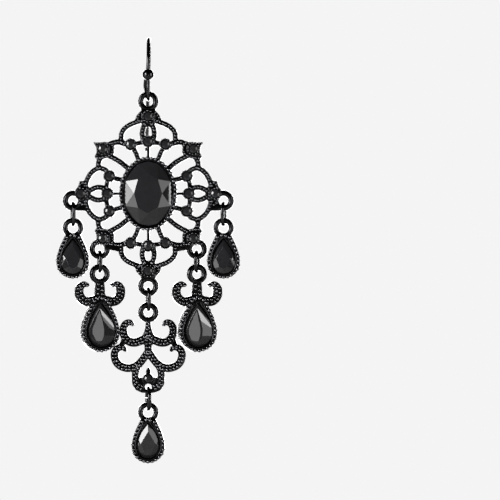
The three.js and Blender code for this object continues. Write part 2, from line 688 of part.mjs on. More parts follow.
addLink(medallion, 'link_centre', 0, -UPRIGHT_RING, RING_HOLE, CENTRE_LINK_INSIDE);
const pendant = new THREE.Group();
pendant.position.z = -UPRIGHT_RING - drop(RING_HOLE, CENTRE_LINK_INSIDE, RING_HOLE);
medallion.add(pendant);
addMesh(pendant, 'scroll_pendant', geometryOf(scrollPendant()), blackMetal());
addStone(pendant, 'stone_pendant', 0, -PENDANT_STONE_DOWN, PENDANT_STONE_RADIUS);

// The jump ring is cut through at the back, as a bent wire ring is
const jumpDown = PENDANT_DOWN + PENDANT_EYE + JUMP_INSIDE / 2 - RUNNING_GAP / 2;
const jumpRing = solidOf(linkGeometry(JUMP_INSIDE + 2 * JUMP_WIRE, JUMP_INSIDE, JUMP_WIRE));
const slitBlock = new THREE.BoxGeometry(2 * JUMP_WIRE, 2 * JUMP_WIRE, JUMP_SLIT);
const slit = solidOf(slitBlock.translate(0, (JUMP_INSIDE + JUMP_WIRE) / 2, 0));
const cutRing = geometryOf(jumpRing.subtract(slit));
const jump = addMesh(pendant, 'jump_ring_bottom', cutRing, blackMetal(), 0, -jumpDown);
jump.rotation.z = THREE.MathUtils.degToRad(LINK_YAW);

const bottom = new THREE.Group();
bottom.position.z = -PENDANT_DOWN - drop(PENDANT_EYE, JUMP_INSIDE, DROP_RING_HOLE);
pendant.add(bottom);
addMesh(bottom, 'drop_bottom', geometryOf(smallDrop()), blackMetal());
addMesh(bottom, 'pear_stone_bottom', pearStone(SMALL_PEAR, KITE_TABLE), blackGlass());

export default earring;
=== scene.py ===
import math
import random

import bpy
from bpy.props import FloatProperty, FloatVectorProperty, IntProperty, PointerProperty
from bpy.types import Operator, Panel, PropertyGroup
from mathutils import Euler, Matrix, Vector


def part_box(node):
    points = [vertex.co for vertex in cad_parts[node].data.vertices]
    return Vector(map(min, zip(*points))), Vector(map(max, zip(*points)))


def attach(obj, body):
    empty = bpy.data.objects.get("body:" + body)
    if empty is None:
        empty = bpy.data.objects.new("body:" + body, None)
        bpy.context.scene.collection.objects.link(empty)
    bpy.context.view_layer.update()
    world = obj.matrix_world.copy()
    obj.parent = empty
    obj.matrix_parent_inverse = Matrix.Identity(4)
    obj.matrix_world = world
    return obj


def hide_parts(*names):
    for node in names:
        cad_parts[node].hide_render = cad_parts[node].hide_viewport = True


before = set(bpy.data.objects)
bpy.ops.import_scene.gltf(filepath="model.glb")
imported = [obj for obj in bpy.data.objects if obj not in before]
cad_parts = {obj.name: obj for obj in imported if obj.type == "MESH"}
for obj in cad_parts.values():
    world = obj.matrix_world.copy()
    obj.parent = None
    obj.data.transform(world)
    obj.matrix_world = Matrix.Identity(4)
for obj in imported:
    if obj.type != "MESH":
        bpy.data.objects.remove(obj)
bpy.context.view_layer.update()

bl_info = {
    "name": "Black Chandelier Earring",
    "version": (1, 0, 0),
    "blender": (4, 5, 0),
    "location": "3D View > Sidebar > Earring",
    "description": "Dresses the chandelier earring: castings, milgrain, cut stones, links, wire and stage",
    "category": "Object",
}

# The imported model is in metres. Pieces are modelled in millimetres and brought to metres when finished.
MM = 0.001


def box_mm(node):
    low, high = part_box(node)
    return Vector(low) / MM, Vector(high) / MM


def middle_mm(node):
    low, high = box_mm(node)
    return (low + high) / 2


# Places that the frame gives
PLANE_Y = middle_mm("link_centre").y
MEDALLION = Vector((0.0, PLANE_Y, middle_mm("oval_stone").z))
SMALL_DROPS = ("drop_left", "drop_right", "drop_bottom")
SMALL_PEARS = ("pear_stone_left", "pear_stone_right", "pear_stone_bottom")
SCROLL_DROPS = ("scroll_drop_left", "scroll_drop_right")
LARGE_PEARS = ("scroll_stone_left", "scroll_stone_right")
SMALL_LINKS = ("link_left", "link_right", "jump_ring_bottom")
SCROLL_LINKS = ("link_lower_left", "link_lower_right")
LINKS = ("link_left", "link_right", "link_lower_left", "link_lower_right", "link_centre")

# Sizes of the castings in millimetres, as the solids have them
SHEET = 1.4
BEZEL = (6.02, 7.7)
BEZEL_RIM = 2.2
UPRIGHT_LOBE = {"from": BEZEL[1], "reach": 16.2, "half": 5.7}
SIDE_LOBE = {"from": BEZEL[0], "reach": 14.1, "half": 5.4}
CORNER = (9.5, 9.4)
PLATE_HALF = 1.9
CUP_RIM = 1.5
CUP_RADIUS = 1.3
STONE_RADIUS = 0.9
PENDANT_STONE_RADIUS = 0.75
RING_HOLE = 1.0
RING_BAND = 1.15
RING_OUTSIDE = RING_HOLE + RING_BAND
DROP_RING_HOLE = 1.1
DROP_RING_BAND = 1.05
UPRIGHT_RING = 19.4
SIDE_RING = (15.8, -1.45)
CORNER_RING = (10.2, -11.65)
SMALL_PEAR = {"round": 3.46, "round_down": 7.2, "top": 1.4, "top_half": 1.55, "rim": 1.5, "beads_below": 0.6}
LARGE_PEAR = {"round": 4.0, "round_down": 12.32, "top": 5.2, "top_half": 1.3, "rim": 1.6, "beads_below": 0.2}
PEAR_WALL = 0.86
DROP_TURN = 12
# The least half-width of a pear's top in millimetres, and how its flank is pulled out and down, as shares
PEAR_SHARPEST = 0.05
PEAR_FLANK = {"out": 0.5, "upper": 0.32, "lower": 0.66}
SCROLL_HALF = 5.3
SCROLL_DOWN = 6.0
SCROLL_BAND = 1.9
PENDANT_HALF = 7.9
PENDANT_DOWN = 15.7

# Points nearer than this in millimetres are one point
MERGE = 0.002
# How a casting's edges are rounded: smoothing passes, and the share of the faces that is then kept
MELT_PASSES = 4
FACES_KEPT = 0.4
# How far the smooth rings stand over the solids' own, in millimetres
RING_PROUD = {"round": 0.02, "front": 0.03}
# Thin lips, in millimetres: their radii and how they lie
PENDANT_LIP = 0.09
SCROLL_LIP = 0.1
LIP_SINK = 0.04
STONE_LIP = {"radius": 0.17, "inset": PEAR_WALL - 0.12, "below_top": 0.7}
# Milgrain: places in millimetres, and each bead's share of the common size and its shift from an even row
RIM_BEAD_SINK = 0.05
BEZEL_BEAD_INSET = 0.28
PEAR_BEAD_INSET = 0.26
CUP_BEAD = 0.17
CUP_BEAD_INSET = 0.14
BEAD_SIZES = (0.9, 1.1)
BEAD_SHIFT = (0.05, 0.03, 0.05)
# A scroll has two rows of beads between two lips, at these shares of its half-width. The second of each two
# starts half a bead's step later, in millimetres.
PENDANT_ROWS = {"stem": 0.4, "scroll": 0.36, "lip": 0.86}
DROP_ROWS = {"stem": 0.45, "scroll": 0.38, "lip": 0.88}
STAGGER = 0.37
# The links and the jump ring. Wire, width and waist are in millimetres, and points within the waist stay
# when a link is pulled apart. The turn and the cut are in degrees.
LINK = {"wire": 0.8, "width": 4.0, "yaw": 8, "waist": 1e-4}
JUMP_RING = {"wire": 0.85, "cut": 4, "yaw": 8}

# Centre lines of a lobe's bars, as (across, out) shares of the lobe's half-width and of its way out
UPRIGHT_BARS = (
    ((0.22, 0.91), (0.47, 0.85), (0.7, 0.79), (0.88, 0.7), (0.98, 0.6), (1.0, 0.48), (1.0, 0.37)),
    ((0.64, 0.3), (0.87, 0.325), (1.1, 0.375), (1.32, 0.34)),
    ((0.22, 0.35), (0.42, 0.33)),
    ((0.56, 0.2), (0.45, 0.1), (0.38, -0.02)),
    ((0.12, 0.8), (0.19, 0.72), (0.22, 0.62), (0.22, 0.5), (0.16, 0.42)),
)
SIDE_BARS = (
    ((0.3, 0.9), (0.59, 0.83), (0.79, 0.75), (0.94, 0.63), (1.0, 0.52), (0.95, 0.4), (0.84, 0.29)),
    ((0.24, 0.33), (0.45, 0.32)),
    ((0.63, 0.14), (0.58, 0.06), (0.54, -0.03)),
    ((0.04, 0.84), (0.16, 0.73), (0.24, 0.61), (0.25, 0.5), (0.2, 0.4)),
)
CORNER_BARS = (
    ((0.8, 0.81), (0.62, 0.71), (0.44, 0.56)),
    ((1.04, 0.8), (1.1, 0.7), (1.1, 0.57)),
)
# Rows of grain on the plates that carry the tip stones and the corner stones
UPRIGHT_TIP_GRAIN = ((0.14, 0.82), (0.24, 0.87), (0.4, 0.93), (0.35, 1.02), (0.24, 1.09))
SIDE_TIP_GRAIN = ((0.18, 0.83), (0.4, 0.88), (0.39, 1.01), (0.24, 1.05))
CORNER_GRAIN = (
    (0.9, 0.62), (0.5, 0.6), (-0.3, 0.66), (-0.98, 0.5), (-1.02, -0.4), (-0.75, -0.72), (-0.3, -0.92),
    (0.2, -1.0), (0.55, -1.05), (0.72, -0.7),
)
# Scrolls, as (across, down, width): shares of the scroll drop's or the pendant's half-width and height,
# and of the scroll band
DROP_SCROLL = (
    (0.5, 0.38, 0.45), (0.62, 0.355, 0.62), (0.77, 0.42, 0.85), (0.84, 0.61, 0.95), (0.77, 0.83, 1.0),
    (0.57, 0.96, 1.02), (0.3, 0.94, 1.05), (0.0, 0.87, 1.1),
)
DROP_STEM = ((0.0, 0.36, 0.95), (0.0, 0.6, 1.1), (0.0, 0.85, 1.3))
PENDANT_SCROLLS = (
    (
        (0.41, 0.165, 0.4), (0.46, 0.138, 0.6), (0.56, 0.14, 0.75), (0.64, 0.18, 0.82), (0.665, 0.25, 0.85),
        (0.63, 0.325, 0.9), (0.53, 0.385, 0.92), (0.37, 0.405, 0.95), (0.2, 0.38, 0.95), (0.0, 0.33, 0.95),
    ),
    (
        (0.02, 0.54, 0.85), (0.15, 0.635, 0.88), (0.29, 0.71, 0.88), (0.47, 0.745, 0.88), (0.66, 0.735, 0.88),
        (0.81, 0.69, 0.88), (0.89, 0.61, 0.85), (0.88, 0.52, 0.82), (0.78, 0.472, 0.75), (0.66, 0.47, 0.6),
    ),
    (
        (0.25, 0.7, 0.7), (0.33, 0.78, 0.75), (0.345, 0.88, 0.75), (0.32, 0.96, 0.8), (0.17, 1.005, 0.9),
    ),
)
PENDANT_STEM = (
    (0.0, 0.13, 0.55), (0.0, 0.18, 0.58), (0.0, 0.25, 0.8), (0.0, 0.33, 1.1), (0.0, 0.42, 0.85),
    (0.0, 0.52, 0.85),
)
# The ear wire and its ball in millimetres, and the wire's route as (aside, back, up) shares of its sizes
WIRE = {"thick": 0.76, "aside": 0.65, "half": 4.2, "leg": 23.1, "eye": 1.6, "eye_below": 10.85}
WIRE_ROUTE = (
    (0.75, 1, -1), (0.7, 1, -0.8), (0.5, 0.97, -0.6), (0.3, 0.93, -0.4), (0.1, 0.9, -0.2), (0, 0.76, -0.08),
    (0, 0.42, -0.005), (0, 0, 0.017), (0, -0.42, -0.005), (0, -0.78, -0.07), (0, -1.0, -0.15),
    (0.1, -1.04, -0.23), (0.5, -0.99, -0.32), (0.9, -0.84, -0.37),
)
WIRE_EYE_DEGREES = (40, 10, -20, -55, -90, -125, -160, -185)
# The point of the eye at which the wire is back in the middle
WIRE_EYE_CENTRED = 4
BALL = {"radius": 1.2, "below": 7.3, "gap": 0.1}


def linear(hex_colour):
    """sRGB hex to linear"""
    values = [int(hex_colour[i:i + 2], 16) / 255 for i in (1, 3, 5)]
    return tuple(v / 12.92 if v <= 0.04045 else ((v + 0.055) / 1.055) ** 2.4 for v in values) + (1.0,)


# The real milgrain has a bead every 0.4 to 0.55 mm. That is too fine to show in the render, so the grain of
# the bars, rims and scrolls is drawn coarser, with fewer and larger beads.

class EarringSizes(PropertyGroup):
    """Sizes of the fine work, in millimetres"""

    voxel: FloatProperty(
        name="Casting cells",
        description="Size of the cells that round off the castings' edges, in millimetres",
        default=0.13, min=0.08, max=0.3,
    )
    bar_bead: FloatProperty(
        name="Bar grain",
        description="Radius of the grains along the medallion's bars, in millimetres",
        default=0.26, min=0.05, max=0.5,
    )
    bar_pitch: FloatProperty(
        name="Bar grain spacing",
        description="Distance between grains along a bar, in millimetres",
        default=0.62, min=0.1, max=1.0,
    )
    rim_bead: FloatProperty(
        name="Rim bead",
        description="Radius of the milgrain beads round the large settings, in millimetres",
        default=0.35, min=0.1, max=0.6,
    )
    rim_pitch: FloatProperty(
        name="Rim bead spacing",
        description="Distance between the beads of a rim, in millimetres",
        default=0.9, min=0.2, max=2.0,
    )
    scroll_bead: FloatProperty(
        name="Scroll bead",
        description="Radius of the beads in the scrolls' channel, in millimetres",
        default=0.28, min=0.1, max=0.5,
    )
    scroll_pitch: FloatProperty(
        name="Scroll bead spacing",
        description="Distance between a scroll's beads, in millimetres",
        default=0.74, min=0.2, max=2.0,
    )
    cup_beads: IntProperty(
        name="Cup beads", description="Number of beads round each small stone", default=10, min=4, max=16,
    )


class EarringColours(PropertyGroup):
    """Colours of the finishes"""

    plate: FloatVectorProperty(
        name="Plating", description="Black plating on the castings",
        subtype="COLOR", default=linear("#1b1b1c")[:3], min=0.0, max=1.0,
    )
    # The milgrain's plating is paler than the casting's: partly polish wear, partly painted sheen that keeps
    # the beads lighter than the ground between them
    rubbed: FloatVectorProperty(
        name="Rubbed plating and painted sheen", description="Plating on the milgrain: partly polish wear, partly painted sheen",
        subtype="COLOR", default=linear("#4c4c4e")[:3], min=0.0, max=1.0,
    )
    wire: FloatVectorProperty(
        name="Wire", description="Black plating on the ear wire, the links and the jump ring",
        subtype="COLOR", default=linear("#222223")[:3], min=0.0, max=1.0,
    )
    glass: FloatVectorProperty(
        name="Stones", description="Opaque black glass",
        subtype="COLOR", default=linear("#101011")[:3], min=0.0, max=1.0,
    )
    paper: FloatVectorProperty(
        name="Floor", description="Pale floor",
        subtype="COLOR", default=linear("#eeeeee")[:3], min=0.0, max=1.0,
    )


# Small helpers for working as by hand

def clear_selection():
    if bpy.context.object and bpy.context.object.mode != "OBJECT":
        bpy.ops.object.mode_set(mode="OBJECT")
    bpy.ops.object.select_all(action="DESELECT")


def take(piece):
    """Selects one piece alone and makes it active"""
    clear_selection()
    piece.select_set(True)
    bpy.context.view_layer.objects.active = piece


def select_only(piece, kind, wanted):
    """Selects the active piece's faces or vertices that are wanted, and leaves it in edit mode"""
    bpy.ops.object.mode_set(mode="EDIT")
    bpy.ops.mesh.select_all(action="DESELECT")
    bpy.ops.object.mode_set(mode="OBJECT")
    for element in getattr(piece.data, kind):
        element.select = wanted(element)
    bpy.ops.object.mode_set(mode="EDIT")


def apply_modifiers(piece):
    take(piece)
    for modifier in list(piece.modifiers):
        bpy.ops.object.modifier_apply(modifier=modifier.name)


def copy_of_node(node, name):
    """A millimetre copy of a CAD node's mesh, with its loose triangles merged"""
    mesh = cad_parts[node].data.copy()
    mesh.transform(Matrix.Scale(1 / MM, 4))
    piece = bpy.data.objects.new(name, mesh)
    bpy.context.scene.collection.objects.link(piece)
    mesh.materials.clear()
    take(piece)
    bpy.ops.object.mode_set(mode="EDIT")
    bpy.ops.mesh.select_all(action="SELECT")
    bpy.ops.mesh.remove_doubles(threshold=MERGE)
    bpy.ops.object.mode_set(mode="OBJECT")
    return piece


def soft_casting(node, name, voxel):
    """A casting's solid with rounded edges: fine cells, a few smoothing passes, then fewer faces"""
    piece = copy_of_node(node, name)
    cells = piece.modifiers.new("cells", "REMESH")
    cells.mode = "VOXEL"
    cells.voxel_size = voxel
    melt = piece.modifiers.new("melt", "SMOOTH")
    melt.factor = 0.5
    melt.iterations = MELT_PASSES
    fewer = piece.modifiers.new("fewer", "DECIMATE")
    fewer.ratio = FACES_KEPT
    apply_modifiers(piece)
    bpy.ops.object.shade_smooth()
    return piece


def joined(name, pieces):
    """The pieces as one, in the first one's place"""
    clear_selection()
    for piece in pieces:
        piece.select_set(True)
    bpy.context.view_layer.objects.active = pieces[0]
    bpy.ops.object.join()
    pieces[0].name = name
    return pieces[0]


def moved_copy(piece, name, offset):
    """A copy with a mesh of its own"""
    copy = bpy.data.objects.new(name, piece.data.copy())
    copy.data.transform(Matrix.Translation(offset))
    bpy.context.scene.collection.objects.link(copy)
    return copy


def finish_piece(piece, name, body, slot, material, *nodes):
    """To metres, with its place in its mesh, riding on its body"""
    piece.name = name
    piece.data.name = name
    take(piece)
    bpy.ops.object.transform_apply(location=True, rotation=True, scale=True)
    piece.data.transform(Matrix.Scale(MM, 4))
    piece.data.materials.clear()
    piece.data.materials.append(material)
    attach(piece, body)
    if nodes:
        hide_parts(*nodes)


def add_node(tree, kind, settings=None, values=None, links=None):
    """A node with its settings, its inputs' values and the outputs linked to its inputs"""
    node = tree.nodes.new(kind)
    for name, value in (settings or {}).items():
        setattr(node, name, value)
    for name, value in (values or {}).items():
        node.inputs[name].default_value = value
    for name, output in (links or {}).items():
        tree.links.new(output, node.inputs[name])
    return node


# Lines, wire and rows of beads

def curve_object(name, routes, closed=False):
    """Smooth lines through the routes' points"""
    curve = bpy.data.curves.new(name, "CURVE")
    curve.dimensions = "3D"
    curve.resolution_u = 6
    for route in routes:
        spline = curve.splines.new("BEZIER")
        spline.bezier_points.add(len(route) - 1)
        for knot, place in zip(spline.bezier_points, route):
            knot.co = place
            knot.handle_left_type = "AUTO"
            knot.handle_right_type = "AUTO"
        spline.use_cyclic_u = closed
    piece = bpy.data.objects.new(name, curve)
    bpy.context.scene.collection.objects.link(piece)
    return piece


def wire_along(name, routes, radius, closed=False, along=6, around=2):
    """Round wire on the routes. More steps along it and around it make it smoother."""
    piece = curve_object(name, routes, closed)
    piece.data.resolution_u = along
    piece.data.bevel_depth = radius
    piece.data.bevel_resolution = around
    piece.data.use_fill_caps = not closed
    take(piece)
    bpy.ops.object.convert(target="MESH")
    bpy.ops.object.shade_smooth()
    return piece


def bead_nodes(radius, pitch):
    """Geometry nodes that set a bead at each step along a line, none quite like the next"""
    group = bpy.data.node_groups.new("bead_row", "GeometryNodeTree")
    group.interface.new_socket(name="Lines", in_out="INPUT", socket_type="NodeSocketGeometry")
    group.interface.new_socket(name="Beads", in_out="OUTPUT", socket_type="NodeSocketGeometry")
    lines = add_node(group, "NodeGroupInput")
    steps = add_node(
        group, "GeometryNodeResampleCurve",
        {"mode": "LENGTH"}, {"Length": pitch}, {"Curve": lines.outputs[0]},
    )
    shift = add_node(
        group, "FunctionNodeRandomValue", {"data_type": "FLOAT_VECTOR"},
        {0: [-most for most in BEAD_SHIFT], 1: BEAD_SHIFT},
    )
    moved = add_node(
        group, "GeometryNodeSetPosition",
        links={"Geometry": steps.outputs["Curve"], "Offset": shift.outputs[0]},
    )
    bead = add_node(group, "GeometryNodeMeshIcoSphere", values={"Radius": radius, "Subdivisions": 2})
    sizes = add_node(
        group, "FunctionNodeRandomValue", {"data_type": "FLOAT"}, {2: BEAD_SIZES[0], 3: BEAD_SIZES[1]},
    )
    put = add_node(
        group, "GeometryNodeInstanceOnPoints",
        links={
            "Points": moved.outputs["Geometry"],
            "Instance": bead.outputs["Mesh"],
            "Scale": sizes.outputs[1],
        },
    )
    real = add_node(group, "GeometryNodeRealizeInstances", links={"Geometry": put.outputs["Instances"]})
    add_node(group, "NodeGroupOutput", links={0: real.outputs["Geometry"]})
    return group


def bead_row(name, routes, radius, pitch, closed=False):
    """Beads on smooth lines through the routes' points, as one mesh"""
    piece = curve_object(name, routes, closed)
    rows = piece.modifiers.new("beads", "NODES")
    rows.node_group = bead_nodes(radius, pitch)
    take(piece)
    bpy.ops.object.convert(target="MESH")
    bpy.ops.object.shade_smooth()
    return bpy.context.object


# Finishes

CAST = "black_plated_casting"
RUBBED_AND_SHEEN = "black_rubbed_plating"
# Plating of the beads: paler than the casting's, partly for polish wear and partly as painted sheen against
# the darker ground between the beads
DRAWN = "black_plated_wire"
GLASS = "black_pressed_glass"

# Black plating, as its colour, its least and most roughness, and the grain and depth of the skin under it in
# millimetres
PLATINGS = {
    # Cast zinc alloy: the coat is glossy and dark, and the finely pitted skin breaks its light up
    CAST: ("plate", 0.13, 0.22, 0.25, 0.02),
    # Milgrain on the castings, smoother and paler. The paleness is partly wear from polishing and partly
    # painted sheen, which keeps each bead lighter than the darker casting between the beads, so that each
    # bead has its glint
    RUBBED_AND_SHEEN: ("rubbed", 0.1, 0.18, 0.4, 0.004),
    # Drawn wire: smooth, so that its glints are long and clean
    DRAWN: ("wire", 0.1, 0.16, 0.6, 0.004),
}
# Widths of the faint clouds in the plating and in the glass, in millimetres
PLATING_CLOUD = 1.4
GLASS_CLOUD = 2.5


def new_material(name):
    material = bpy.data.materials.new(name)
    material.use_nodes = True
    tree = material.node_tree
    tree.nodes.clear()
    shader = add_node(tree, "ShaderNodeBsdfPrincipled")
    add_node(tree, "ShaderNodeOutputMaterial", links={"Surface": shader.outputs[0]})
    place = add_node(tree, "ShaderNodeTexCoord")
    return material, tree, shader, place.outputs["Object"]


def per_mm(size):
    """Noise scale for features of that many millimetres, in metres of Object coordinates"""
    return 1 / (size * MM)


def times(shade, share):
    """A colour made darker or lighter, as a socket takes it"""
    return tuple(share * value for value in shade) + (1.0,)


def plated(name, shade, smoothest, roughest, grain, depth):
    """Black plating over metal: glossy, and a little uneven in tone and gloss"""
    material, tree, shader, place = new_material(name)
    shader.inputs["Metallic"].default_value = 1.0
    cloud = add_node(
        tree, "ShaderNodeTexNoise",
        values={"Scale": per_mm(PLATING_CLOUD), "Detail": 3.0}, links={"Vector": place},
    )
    tone = add_node(
        tree, "ShaderNodeMix", {"data_type": "RGBA"},
        {6: times(shade, 0.8), 7: times(shade, 1.25)}, {0: cloud.outputs[0]},
    )
    tree.links.new(tone.outputs[2], shader.inputs["Base Color"])
    skin = add_node(
        tree, "ShaderNodeTexNoise", values={"Scale": per_mm(grain), "Detail": 4.0}, links={"Vector": place},
    )
    rough = add_node(
        tree, "ShaderNodeMapRange",
        values={"From Min": 0.35, "From Max": 0.65, "To Min": smoothest, "To Max": roughest},
        links={"Value": cloud.outputs[0]},
    )
    tree.links.new(rough.outputs[0], shader.inputs["Roughness"])
    bump = add_node(
        tree, "ShaderNodeBump",
        values={"Strength": 0.6, "Distance": depth * MM}, links={"Height": skin.outputs[0]},
    )
    tree.links.new(bump.outputs[0], shader.inputs["Normal"])
    return material


def pressed_glass(name, shade):
    """Opaque black pressed glass, fire polished: deep, with a hard clean gloss"""
    material, tree, shader, place = new_material(name)
    shader.inputs["IOR"].default_value = 1.5
    # Less mirror than real glass has, which keeps the facets as dark as in the photograph
    shader.inputs["Specular IOR Level"].default_value = 0.18
    haze = add_node(
        tree, "ShaderNodeTexNoise",
        values={"Scale": per_mm(GLASS_CLOUD), "Detail": 2.0}, links={"Vector": place},
    )
    tone = add_node(
        tree, "ShaderNodeMix", {"data_type": "RGBA"},
        {6: times(shade, 1.0), 7: times(shade, 1.8)}, {0: haze.outputs[0]},
    )
    tree.links.new(tone.outputs[2], shader.inputs["Base Color"])
    rough = add_node(
        tree, "ShaderNodeMapRange",
        values={"From Min": 0.3, "From Max": 0.7, "To Min": 0.02, "To Max": 0.05},
        links={"Value": haze.outputs[0]},
    )
    tree.links.new(rough.outputs[0], shader.inputs["Roughness"])
    return material


def finish_named(name):
    """The object's finishes, each made once"""
    if name in bpy.data.materials:
        return bpy.data.materials[name]
    colours = bpy.context.scene.earring_colours
    if name == GLASS:
        return pressed_glass(name, colours.glass)
    shade, *skin = PLATINGS[name]
    return plated(name, getattr(colours, shade), *skin)


# Outlines

# Each lobe's sizes, the way it points as (across, up), and its rows of grain
LOBES = (
    (UPRIGHT_LOBE, (0, 1), (*UPRIGHT_BARS, UPRIGHT_TIP_GRAIN)),
    (UPRIGHT_LOBE, (0, -1), (*UPRIGHT_BARS, UPRIGHT_TIP_GRAIN)),
    (SIDE_LOBE, (-1, 0), (*SIDE_BARS, SIDE_TIP_GRAIN)),
    (SIDE_LOBE, (1, 0), (*SIDE_BARS, SIDE_TIP_GRAIN)),
)


def in_lobe(lobe, way, across, out):
    """A place in a lobe from its shares, as (across, up) from the middle of the medallion"""
    along = lobe["from"] + out * (lobe["reach"] - lobe["from"])
    beside = across * lobe["half"]
    return way[0] * along + way[1] * beside, way[1] * along + way[0] * beside


def bar_routes():
    """Lines along the front of the medallion's bars and plates, for its grain"""
    lines = []
    for lobe, way, bars in LOBES:
        for bar in bars:
            for side in (-1, 1):
                lines.append([in_lobe(lobe, way, side * across, out) for across, out in bar])
    for across in (-1, 1):
        for up in (-1, 1):
            for bar in CORNER_BARS:
                lines.append([(across * a * CORNER[0], up * u * CORNER[1]) for a, u in bar])
            lines.append([
                (across * (CORNER[0] + a * PLATE_HALF), up * (CORNER[1] + u * PLATE_HALF))
                for a, u in CORNER_GRAIN
            ])
    return [[MEDALLION + Vector((x, -SHEET / 2, z)) for x, z in line] for line in lines]


def ellipse_route(centre, half_width, half_height, knots):
    turns = [i * 2 * math.pi / knots for i in range(knots)]
    return [centre + Vector((half_width * math.cos(turn), 0, half_height * math.sin(turn))) for turn in turns]


def pear_route(ring, pear, inset, front, top):
    """A pear's outline, measured down from the ring's centre: a narrow top, two easy flanks and a half round.
    A flank is a cubic curve that leaves the top aslant and meets the round upright."""
    radius = pear["round"] - inset
    rise = pear["round_down"] - top
    half = max(pear["top_half"] - inset, PEAR_SHARPEST)
    pulled = half + PEAR_FLANK["out"] * (radius - half)
    upper = top + PEAR_FLANK["upper"] * rise
    lower = top + PEAR_FLANK["lower"] * rise
    right = []
    for t in (0.0, 0.25, 0.5, 0.75):
        x = (1 - t) ** 3 * half + 3 * (1 - t) ** 2 * t * pulled
        x += (3 * (1 - t) * t * t + t ** 3) * radius
        z = (1 - t) ** 3 * top + 3 * (1 - t) ** 2 * t * upper
        z += 3 * (1 - t) * t * t * lower + t ** 3 * pear["round_down"]
        right.append((x, -z))
    bottom = []
    for i in range(9):
        turn = -i * math.pi / 8
        bottom.append((radius * math.cos(turn), -pear["round_down"] + radius * math.sin(turn)))
    left = [(-x, z) for x, z in reversed(right)]
    return [ring + Vector((x, -front, z)) for x, z in right + bottom + left]


def ring_of(node, link):
    """The centre of the ring at the top of a casting that hangs from a link"""
    return Vector((middle_mm(link).x, PLANE_Y, box_mm(node)[1].z - RING_OUTSIDE))


def scroll_rows(centre, rows, size, front, share):
    """A line on each side of a scroll's middle, at that share of its half-width"""
    spine = [Vector((across * size[0], 0, -down * size[1])) for across, down, _ in rows]
    lines = []
    for side in (-share, share):
        line = []
        for i, place in enumerate(spine):
            along = spine[min(i + 1, len(spine) - 1)] - spine[max(i - 1, 0)]
            beside = Vector((-along.z, 0, along.x)).normalized()
            aside = beside * side * rows[i][2] * SCROLL_BAND / 2
            line.append(centre + place + aside + Vector((0, -front, 0)))
        lines.append(line)
    second = lines[1]
    second[0] = second[0].lerp(second[1], STAGGER / (second[1] - second[0]).length)
    return lines


def both_sides(centre, routes):
    """The routes, and their mirror images across the upright through the centre"""
    return routes + [[Vector((2 * centre.x - p.x, p.y, p.z)) for p in route] for route in routes]


# Pieces

def smooth_ring(centre, hole, band):
    """A round ring over a solid's ring, a little thicker than it"""
    clear_selection()
    bpy.ops.mesh.primitive_torus_add(
        major_segments=40, minor_segments=16, major_radius=hole + band / 2,
        minor_radius=band / 2 + RING_PROUD["round"], location=centre, rotation=(math.pi / 2, 0, 0),
    )
    ring = bpy.context.object
    ring.scale.z = (SHEET + 2 * RING_PROUD["front"]) / (band + 2 * RING_PROUD["round"])
    bpy.ops.object.transform_apply(location=True, rotation=True, scale=True)
    bpy.ops.object.shade_smooth()
    return ring


def turn_about(piece, centre, degrees):
    """Turns a mesh about the upright through the centre"""
    turn = Matrix.Rotation(math.radians(degrees), 4, "Z")
    piece.data.transform(Matrix.Translation(centre) @ turn @ Matrix.Translation(-centre))


def stone_lip(ring, pear):
    """The thin lip that holds a pear stone"""
    top = pear["top"] + STONE_LIP["below_top"]
    lip = pear_route(ring, pear, STONE_LIP["inset"], pear["rim"], top)
    return wire_along("stone_lip", [lip], STONE_LIP["radius"], closed=True)


def pear_beads(ring, pear, sizes):
    """Milgrain on the rim of a pear setting"""
    top = pear["top"] + pear["beads_below"]
    rim = pear_route(ring, pear, PEAR_BEAD_INSET, pear["rim"] - RIM_BEAD_SINK, top)
    return bead_row("rim_beads", [rim], sizes.rim_bead, sizes.rim_pitch, closed=True)


def hang_drops(nodes, links, casting, grain):
    """A drop for each node, its ring in its link, copied from the first, which is finished last"""
    ring = ring_of(nodes[0], links[0])
    for node, link in reversed(list(zip(nodes, links))):
        offset = ring_of(node, link) - ring
        last = node == nodes[0]
        body = casting if last else moved_copy(casting, node, offset)
        beading = grain if last else moved_copy(grain, node, offset)
        finish_piece(body, f"{node}_casting", "drop", "black_plated_metal", finish_named(CAST), node)
        finish_piece(beading, f"{node}_milgrain", "drop", "black_plated_metal", finish_named(RUBBED_AND_SHEEN))


class EARRING_OT_ear_wire(Operator):
    """Round wire bent to an arch, with an eye and a ball on its end"""

    bl_idname = "earring.ear_wire"
    bl_label = "Ear wire"

    def execute(self, context):
        route = [
            Vector((-aside * WIRE["aside"], back * WIRE["half"], up * WIRE["leg"]))
            for aside, back, up in WIRE_ROUTE
        ]
        for index, degrees in enumerate(WIRE_EYE_DEGREES):
            turn = math.radians(degrees)
            route.append(Vector((
                -WIRE["aside"] * max(0, 1 - index / WIRE_EYE_CENTRED),
                PLANE_Y + WIRE["eye"] * math.cos(turn),
                -WIRE["eye_below"] + WIRE["eye"] * math.sin(turn),
            )))
        ball = Vector((0, PLANE_Y - WIRE["thick"] / 2 - BALL["radius"] - BALL["gap"], -BALL["below"]))
        route.append(ball.lerp(route[-1], 0.5))
        route.append(ball)
        wire = wire_along("wire", [route], WIRE["thick"] / 2, along=8, around=5)
        clear_selection()
        bpy.ops.mesh.primitive_uv_sphere_add(segments=40, ring_count=24, radius=BALL["radius"], location=ball)
        bead = bpy.context.object
        bpy.ops.object.shade_smooth()
        piece = joined("ear_wire", [wire, bead])
        finish_piece(piece, "ear_wire", "hook", "black_wire", finish_named(DRAWN), "ear_hook")
        return {"FINISHED"}


